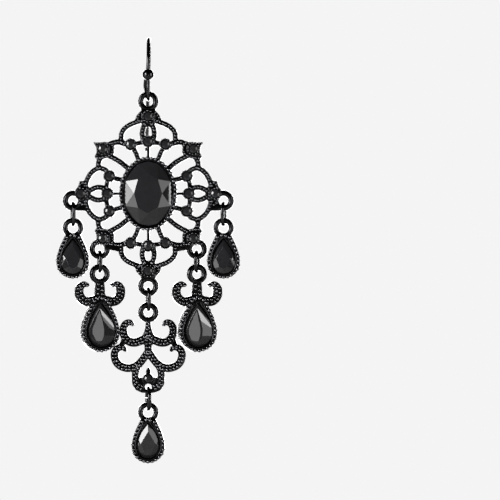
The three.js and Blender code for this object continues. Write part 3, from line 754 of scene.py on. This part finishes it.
def oval_link(node):
    """A ring of wire whose halves are pulled apart to the length of the link"""
    low, high = box_mm(node)
    stretch = (high.z - low.z - LINK["width"]) / 2
    clear_selection()
    bpy.ops.mesh.primitive_torus_add(
        major_segments=48, minor_segments=14, major_radius=(LINK["width"] - LINK["wire"]) / 2,
        minor_radius=LINK["wire"] / 2, rotation=(0, math.pi / 2, 0),
    )
    link = bpy.context.object
    bpy.ops.object.transform_apply(location=True, rotation=True, scale=True)
    for end in (1, -1):
        select_only(link, "vertices", lambda vertex: vertex.co.z * end > LINK["waist"])
        bpy.ops.transform.translate(value=(0, 0, end * stretch))
        bpy.ops.object.mode_set(mode="OBJECT")
    link.rotation_euler.z = math.radians(-LINK["yaw"] if node.endswith("right") else LINK["yaw"])
    link.location = (low + high) / 2
    bpy.ops.object.shade_smooth()
    return link


def jump_ring(node):
    """Wire bent round, with its cut at the back"""
    low, high = box_mm(node)
    radius = (high.z - low.z - JUMP_RING["wire"]) / 2
    clear_selection()
    bpy.ops.mesh.primitive_circle_add(
        vertices=16, radius=JUMP_RING["wire"] / 2, fill_type="NGON", location=(0, radius, 0),
    )
    ring = bpy.context.object
    bpy.ops.object.transform_apply(location=True, rotation=True, scale=True)
    bpy.ops.object.mode_set(mode="EDIT")
    bpy.ops.mesh.select_all(action="SELECT")
    bpy.ops.mesh.spin(
        steps=56, angle=math.radians(360 - JUMP_RING["cut"]), center=(0, 0, 0), axis=(1, 0, 0),
    )
    bpy.ops.mesh.select_all(action="SELECT")
    bpy.ops.mesh.remove_doubles(threshold=MERGE)
    bpy.ops.mesh.normals_make_consistent(inside=False)
    bpy.ops.object.mode_set(mode="OBJECT")
    ring.rotation_euler = (math.radians(JUMP_RING["cut"] / 2), 0, math.radians(JUMP_RING["yaw"]))
    ring.location = (low + high) / 2
    bpy.ops.object.shade_smooth_by_angle(angle=math.radians(40))
    return ring


class EARRING_OT_links(Operator):
    """Oval links, and the round jump ring with its cut at the back"""

    bl_idname = "earring.links"
    bl_label = "Links"

    def execute(self, context):
        for node in LINKS:
            finish_piece(oval_link(node), f"{node}_wire", "drop", "black_wire", finish_named(DRAWN), node)
        ring = jump_ring("jump_ring_bottom")
        finish_piece(ring, "jump_ring_wire", "drop", "black_wire", finish_named(DRAWN), "jump_ring_bottom")
        return {"FINISHED"}


def small_stone_places():
    """The middle of each small stone"""
    return {node: middle_mm(node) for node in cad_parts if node.startswith("stone_")}


def bezel_beads(sizes):
    """Milgrain on the rim of the oval bezel"""
    centre = MEDALLION + Vector((0, RIM_BEAD_SINK - BEZEL_RIM, 0))
    rim = ellipse_route(centre, BEZEL[0] - BEZEL_BEAD_INSET, BEZEL[1] - BEZEL_BEAD_INSET, 24)
    return bead_row("rim_beads", [rim], sizes.rim_bead, sizes.rim_pitch, closed=True)


def cup_beads(sizes):
    """Beads round each small stone of the medallion"""
    radius = CUP_RADIUS - CUP_BEAD_INSET
    rims = []
    for node, place in small_stone_places().items():
        if node != "stone_pendant":
            rims.append(ellipse_route(Vector((place.x, PLANE_Y - CUP_RIM, place.z)), radius, radius, 8))
    pitch = 2 * math.pi * radius / sizes.cup_beads
    return bead_row("cup_beads", rims, CUP_BEAD, pitch, closed=True)


class EARRING_OT_medallion(Operator):
    """The cast medallion with its rounded edges, and its milgrain"""

    bl_idname = "earring.medallion"
    bl_label = "Medallion"

    def execute(self, context):
        sizes = context.scene.earring_sizes
        casting = soft_casting("medallion_frame", "medallion_casting", sizes.voxel)
        places = [(0, UPRIGHT_RING), (0, -UPRIGHT_RING)]
        for across in (-1, 1):
            places += [(across * x, z) for x, z in (SIDE_RING, CORNER_RING)]
        rings = [smooth_ring(MEDALLION + Vector((x, 0, z)), RING_HOLE, RING_BAND) for x, z in places]
        casting = joined("medallion_casting", [casting, *rings])
        finish_piece(
            casting, "medallion_casting", "drop", "black_plated_metal", finish_named(CAST), "medallion_frame",
        )
        bars = bead_row("bar_grain", bar_routes(), sizes.bar_bead, sizes.bar_pitch)
        grain = joined("medallion_milgrain", [bars, bezel_beads(sizes), cup_beads(sizes)])
        finish_piece(grain, "medallion_milgrain", "drop", "black_plated_metal", finish_named(RUBBED_AND_SHEEN))
        return {"FINISHED"}


class EARRING_OT_pendant(Operator):
    """The pierced scroll pendant and its beads"""

    bl_idname = "earring.pendant"
    bl_label = "Scroll pendant"

    def execute(self, context):
        sizes = context.scene.earring_sizes
        casting = soft_casting("scroll_pendant", "pendant_casting", sizes.voxel)
        ring = ring_of("scroll_pendant", "link_centre")
        size = (PENDANT_HALF, PENDANT_DOWN)
        front = SHEET / 2
        sunk = front - LIP_SINK
        beads = scroll_rows(ring, PENDANT_STEM, size, front, PENDANT_ROWS["stem"])
        lips = scroll_rows(ring, PENDANT_STEM, size, sunk, PENDANT_ROWS["lip"])
        for scroll in PENDANT_SCROLLS:
            beads += both_sides(ring, scroll_rows(ring, scroll, size, front, PENDANT_ROWS["scroll"]))
            lips += both_sides(ring, scroll_rows(ring, scroll, size, sunk, PENDANT_ROWS["lip"]))
        edges = [wire_along("lips", lips, PENDANT_LIP), smooth_ring(ring, RING_HOLE, RING_BAND)]
        casting = joined("pendant_casting", [casting, *edges])
        finish_piece(
            casting, "pendant_casting", "drop", "black_plated_metal", finish_named(CAST), "scroll_pendant",
        )
        grain = bead_row("beads", beads, sizes.scroll_bead, sizes.scroll_pitch)
        finish_piece(grain, "pendant_milgrain", "drop", "black_plated_metal", finish_named(RUBBED_AND_SHEEN))
        return {"FINISHED"}


class EARRING_OT_scroll_drops(Operator):
    """Two scroll drops, modelled once"""

    bl_idname = "earring.scroll_drops"
    bl_label = "Scroll drops"

    def execute(self, context):
        sizes = context.scene.earring_sizes
        casting = soft_casting(SCROLL_DROPS[0], "scroll_casting", sizes.voxel)
        ring = ring_of(SCROLL_DROPS[0], SCROLL_LINKS[0])
        size = (SCROLL_HALF, SCROLL_DOWN)
        front = SHEET / 2
        beads = both_sides(ring, scroll_rows(ring, DROP_SCROLL, size, front, DROP_ROWS["scroll"]))
        beads += scroll_rows(ring, DROP_STEM, size, front, DROP_ROWS["stem"])
        lips = both_sides(ring, scroll_rows(ring, DROP_SCROLL, size, front - LIP_SINK, DROP_ROWS["lip"]))
        edging = joined("scroll_edging", [
            wire_along("scroll_lips", lips, SCROLL_LIP),
            stone_lip(ring, LARGE_PEAR),
            smooth_ring(ring, RING_HOLE, RING_BAND),
        ])
        turn_about(edging, ring, DROP_TURN)
        casting = joined("scroll_casting", [casting, edging])
        grain = joined("scroll_milgrain", [
            bead_row("scroll_beads", beads, sizes.scroll_bead, sizes.scroll_pitch),
            pear_beads(ring, LARGE_PEAR, sizes),
        ])
        turn_about(grain, ring, DROP_TURN)
        hang_drops(SCROLL_DROPS, SCROLL_LINKS, casting, grain)
        return {"FINISHED"}


class EARRING_OT_small_drops(Operator):
    """Three small pear drops, modelled once"""

    bl_idname = "earring.small_drops"
    bl_label = "Small drops"

    def execute(self, context):
        sizes = context.scene.earring_sizes
        casting = soft_casting(SMALL_DROPS[0], "small_casting", sizes.voxel)
        ring = ring_of(SMALL_DROPS[0], SMALL_LINKS[0])
        edges = [stone_lip(ring, SMALL_PEAR), smooth_ring(ring, DROP_RING_HOLE, DROP_RING_BAND)]
        casting = joined("small_casting", [casting, *edges])
        grain = pear_beads(ring, SMALL_PEAR, sizes)
        hang_drops(SMALL_DROPS, SMALL_LINKS, casting, grain)
        return {"FINISHED"}


# Stones. Those that glint in the photograph are turned in their cups with a facet to the light, and each is
# set a little unevenly. A pear stone leans in its setting, top forward and to the right. All in degrees.
GLINTING = (
    "stone_upper_left_corner", "stone_lower_left_corner", "stone_left_far", "stone_right_tip",
    "stone_top_near", "stone_pendant",
)
GLINT_TURN = -7.5
DARK_TURN = -30
UNEVEN = 2.5
PEAR_LEAN = {
    "pear_stone_left": (-4, 4.5),
    "pear_stone_bottom": (5, 0),
    "pear_stone_right": (-2, -3),
    "scroll_stone_left": (4, -6),
    "scroll_stone_right": (4, -6),
}
# In millimetres: a small stone, the worn edges between facets, and the rings by which a pressed table swells,
# as width and rise
SMALL_STONE = {"facets": 8, "deep": 1.2, "crown": 0.36, "crown_rise": 0.18}
WORN = {"oval": 0.05, "pear": 0.04, "small": 0.02}
PRESSED_TABLE = ((0.22, 0.022), (0.25, 0.016), (0.28, 0.009))


def wear_edges(stone, width, steeper):
    """A thin worn edge that catches light, wherever facets meet at more than those degrees. Each facet itself
    stays flat to the light."""
    edge = stone.modifiers.new("edge", "BEVEL")
    edge.width = width
    edge.segments = 2
    edge.limit_method = "ANGLE"
    edge.angle_limit = math.radians(steeper)
    apply_modifiers(stone)
    bpy.ops.object.shade_smooth_by_angle(angle=math.radians(12))
    stone.modifiers.new("flat", "WEIGHTED_NORMAL").keep_sharp = True
    apply_modifiers(stone)


def cut_stone(node, worn, pressed=False):
    """A stone's facets from its solid. A pressed table swells a little, and a ground one is flat."""
    stone = copy_of_node(node, node)
    bpy.ops.object.mode_set(mode="EDIT")
    bpy.ops.mesh.select_all(action="SELECT")
    bpy.ops.mesh.dissolve_limited(angle_limit=math.radians(1.5))
    bpy.ops.object.mode_set(mode="OBJECT")
    if pressed:
        front = [face for face in stone.data.polygons if face.normal.y < -0.5]
        table = max(front, key=lambda face: face.area).index
        select_only(stone, "polygons", lambda face: face.index == table)
        for width, rise in PRESSED_TABLE:
            bpy.ops.mesh.inset(thickness=width, depth=rise)
        bpy.ops.object.mode_set(mode="OBJECT")
    wear_edges(stone, worn, 8)
    return stone


def small_stone():
    """A round stone with its crown facets, its girdle at the origin and its table to the front"""
    clear_selection()
    bpy.ops.mesh.primitive_cylinder_add(
        vertices=SMALL_STONE["facets"], radius=STONE_RADIUS, depth=SMALL_STONE["deep"],
        location=(0, SMALL_STONE["deep"] / 2, 0), rotation=(math.pi / 2, 0, 0),
    )
    stone = bpy.context.object
    bpy.ops.object.transform_apply(location=True, rotation=True, scale=True)
    select_only(stone, "polygons", lambda face: face.normal.y < -0.9)
    bpy.ops.mesh.inset(thickness=SMALL_STONE["crown"], depth=SMALL_STONE["crown_rise"])
    bpy.ops.object.mode_set(mode="OBJECT")
    wear_edges(stone, WORN["small"], 30)
    return stone


class EARRING_OT_stones(Operator):
    """All cut stones"""

    bl_idname = "earring.stones"
    bl_label = "Stones"

    def execute(self, context):
        glass = finish_named(GLASS)
        oval = cut_stone("oval_stone", WORN["oval"])
        finish_piece(oval, "oval_cut", "drop", "black_glass", glass, "oval_stone")
        for nodes in (SMALL_PEARS, LARGE_PEARS):
            first = cut_stone(nodes[0], WORN["pear"], pressed=nodes is LARGE_PEARS)
            for node in reversed(nodes):
                offset = middle_mm(node) - middle_mm(nodes[0])
                stone = first if node == nodes[0] else moved_copy(first, node, offset)
                forward, right = PEAR_LEAN[node]
                lean = Euler((math.radians(forward), 0, math.radians(right))).to_matrix().to_4x4()
                centre = Matrix.Translation(middle_mm(node))
                stone.data.transform(centre @ lean @ centre.inverted())
                finish_piece(stone, f"{node}_cut", "drop", "black_glass", glass, node)
        chance = random.Random(11)
        first = small_stone()
        for node, place in small_stone_places().items():
            stone = moved_copy(first, node, Vector())
            scale = PENDANT_STONE_RADIUS / STONE_RADIUS if node == "stone_pendant" else 1.0
            turn = GLINT_TURN if node in GLINTING else DARK_TURN
            tilt = Euler((
                math.radians(chance.uniform(-UNEVEN, UNEVEN)),
                math.radians(turn),
                math.radians(chance.uniform(-UNEVEN, UNEVEN)),
            )).to_matrix().to_4x4()
            spot = Matrix.Translation(Vector((place.x, PLANE_Y - CUP_RIM, place.z)))
            stone.data.transform(spot @ tilt @ Matrix.Scale(scale, 4))
            finish_piece(stone, f"{node}_cut", "drop", "black_glass", glass, node)
        bpy.data.objects.remove(first)
        return {"FINISHED"}


# Stage. The photograph's size and the place of the origin in it are in pixels, and the rest is in metres
# apart from the camera's sensor.
PHOTO_SIDE = 500
ORIGIN_PIXEL = (148.3, 40.1)
METRES_PER_PIXEL = 0.21 * MM
CAMERA_AWAY = 0.95
SENSOR_MM = 36.0
FLOOR = {"radius": 0.25, "height": -0.128}
LIGHT_AWAY = 0.6
# Light boxes, as name, azimuth, elevation, width and height, and watts. Azimuth 0 is the camera's side and 90
# its right. The large ones light the metal and the broad facets, and the small ones single facets.
LIGHTS = (
    ("left_box", -54, 14, (0.19, 0.24), 8.0),
    ("left_low", -52, -14, (0.14, 0.14), 0.6),
    ("left_kick", -40, -8, (0.06, 0.06), 0.25),
    ("right_box", 54, 0, (0.18, 0.42), 2.0),
    ("right_kick", 49, 0, (0.05, 0.05), 0.2),
    ("right_high", 60, 17, (0.06, 0.06), 0.3),
    ("left_edge", -69.5, 0, (0.06, 0.4), 2.0),
    ("right_edge", 69.5, 0, (0.06, 0.4), 2.0),
    ("front_right", 12, -12, (0.13, 0.12), 0.45),
    ("back_box", 178, -4, (0.4, 0.5), 6.0),
)


def pale_floor(shade):
    """Matt white paper, laid out well below the earring"""
    clear_selection()
    bpy.ops.mesh.primitive_circle_add(
        vertices=64, radius=FLOOR["radius"], fill_type="NGON", location=(0, 0, FLOOR["height"]),
    )
    floor = bpy.context.object
    floor.name = "floor"
    bpy.ops.object.transform_apply(location=True, rotation=True, scale=True)
    paper, tree, shader, place = new_material("pale_paper")
    fibre = add_node(tree, "ShaderNodeTexNoise", values={"Scale": per_mm(3.0)}, links={"Vector": place})
    rough = add_node(
        tree, "ShaderNodeMapRange", values={"To Min": 0.6, "To Max": 0.7}, links={"Value": fibre.outputs[0]},
    )
    tree.links.new(rough.outputs[0], shader.inputs["Roughness"])
    shader.inputs["Base Color"].default_value = times(shade, 1.0)
    floor.data.materials.append(paper)


def soft_light(name, azimuth, elevation, size, power):
    """A soft box that faces the earring"""
    around = math.radians(azimuth)
    up = math.radians(elevation)
    way = Vector((math.sin(around) * math.cos(up), -math.cos(around) * math.cos(up), math.sin(up)))
    light = bpy.data.lights.new(name, "AREA")
    light.shape = "RECTANGLE"
    light.size = size[0]
    light.size_y = size[1]
    light.energy = power
    lamp = bpy.data.objects.new(name, light)
    lamp.location = Vector((0, 0, MEDALLION.z * MM)) + way * LIGHT_AWAY
    lamp.rotation_mode = "QUATERNION"
    lamp.rotation_quaternion = (-way).to_track_quat("-Z", "Y")
    lamp.visible_camera = False
    bpy.context.scene.collection.objects.link(lamp)


def studio_world(scene):
    """Pale paper behind the earring, and round it a dimmer room whose walls are lighter than its ceiling"""
    world = bpy.data.worlds.new("studio")
    scene.world = world
    world.use_nodes = True
    tree = world.node_tree
    tree.nodes.clear()
    way = add_node(tree, "ShaderNodeTexCoord")
    height = add_node(tree, "ShaderNodeSeparateXYZ", links={0: way.outputs["Generated"]})
    steep = add_node(tree, "ShaderNodeMath", {"operation": "ABSOLUTE"}, links={0: height.outputs[2]})
    shade = add_node(
        tree, "ShaderNodeMapRange",
        values={"From Min": 0.12, "From Max": 0.55, "To Min": 0.16, "To Max": 0.03},
        links={"Value": steep.outputs[0]},
    )
    room = add_node(
        tree, "ShaderNodeBackground",
        values={"Color": (1.0, 1.0, 1.0, 1.0)}, links={"Strength": shade.outputs[0]},
    )
    paper = add_node(tree, "ShaderNodeBackground", values={"Color": linear("#f4f4f4")})
    rays = add_node(tree, "ShaderNodeLightPath")
    both = add_node(
        tree, "ShaderNodeMixShader",
        links={0: rays.outputs["Is Camera Ray"], 1: room.outputs[0], 2: paper.outputs[0]},
    )
    add_node(tree, "ShaderNodeOutputWorld", links={"Surface": both.outputs[0]})


def photo_camera(scene):
    """The photograph's camera, square on to the earring and far enough away to keep its lines straight"""
    middle = PHOTO_SIDE / 2
    aim = Vector((
        (middle - ORIGIN_PIXEL[0]) * METRES_PER_PIXEL,
        PLANE_Y * MM,
        (ORIGIN_PIXEL[1] - middle) * METRES_PER_PIXEL,
    ))
    camera = bpy.data.cameras.new("photo_camera")
    camera.sensor_width = SENSOR_MM
    camera.lens = SENSOR_MM * CAMERA_AWAY / (PHOTO_SIDE * METRES_PER_PIXEL)
    camera.clip_start = 0.01
    camera.clip_end = 10
    viewer = bpy.data.objects.new("photo_camera", camera)
    viewer.location = aim + Vector((0, -CAMERA_AWAY, 0))
    viewer.rotation_euler = (math.pi / 2, 0, 0)
    scene.collection.objects.link(viewer)
    scene.camera = viewer


class EARRING_OT_stage(Operator):
    """Pale floor, soft studio light and the photograph's camera"""

    bl_idname = "earring.stage"
    bl_label = "Stage"

    def execute(self, context):
        pale_floor(context.scene.earring_colours.paper)
        studio_world(context.scene)
        context.scene.view_settings.view_transform = "Standard"
        for row in LIGHTS:
            soft_light(*row)
        photo_camera(context.scene)
        return {"FINISHED"}


class EARRING_PT_panel(Panel):
    """Lists the earring's steps"""

    bl_idname = "EARRING_PT_panel"
    bl_label = "Chandelier Earring"
    bl_space_type = "VIEW_3D"
    bl_region_type = "UI"
    bl_category = "Earring"

    def draw(self, context):
        layout = self.layout
        for step in STEPS:
            layout.operator(step.bl_idname)
        for group in (context.scene.earring_sizes, context.scene.earring_colours):
            column = layout.column()
            for name in group.__annotations__:
                column.prop(group, name)


STEPS = (
    EARRING_OT_ear_wire,
    EARRING_OT_links,
    EARRING_OT_medallion,
    EARRING_OT_pendant,
    EARRING_OT_scroll_drops,
    EARRING_OT_small_drops,
    EARRING_OT_stones,
    EARRING_OT_stage,
)
CLASSES = (EarringSizes, EarringColours, *STEPS, EARRING_PT_panel)


def register():
    for cls in CLASSES:
        bpy.utils.register_class(cls)
    bpy.types.Scene.earring_sizes = PointerProperty(type=EarringSizes)
    bpy.types.Scene.earring_colours = PointerProperty(type=EarringColours)


def unregister():
    del bpy.types.Scene.earring_sizes
    del bpy.types.Scene.earring_colours
    for cls in reversed(CLASSES):
        bpy.utils.unregister_class(cls)


def main():
    register()
    bpy.ops.earring.ear_wire()
    bpy.ops.earring.links()
    bpy.ops.earring.medallion()
    bpy.ops.earring.pendant()
    bpy.ops.earring.scroll_drops()
    bpy.ops.earring.small_drops()
    bpy.ops.earring.stones()
    bpy.ops.earring.stage()


if __name__ == "__main__":
    main()
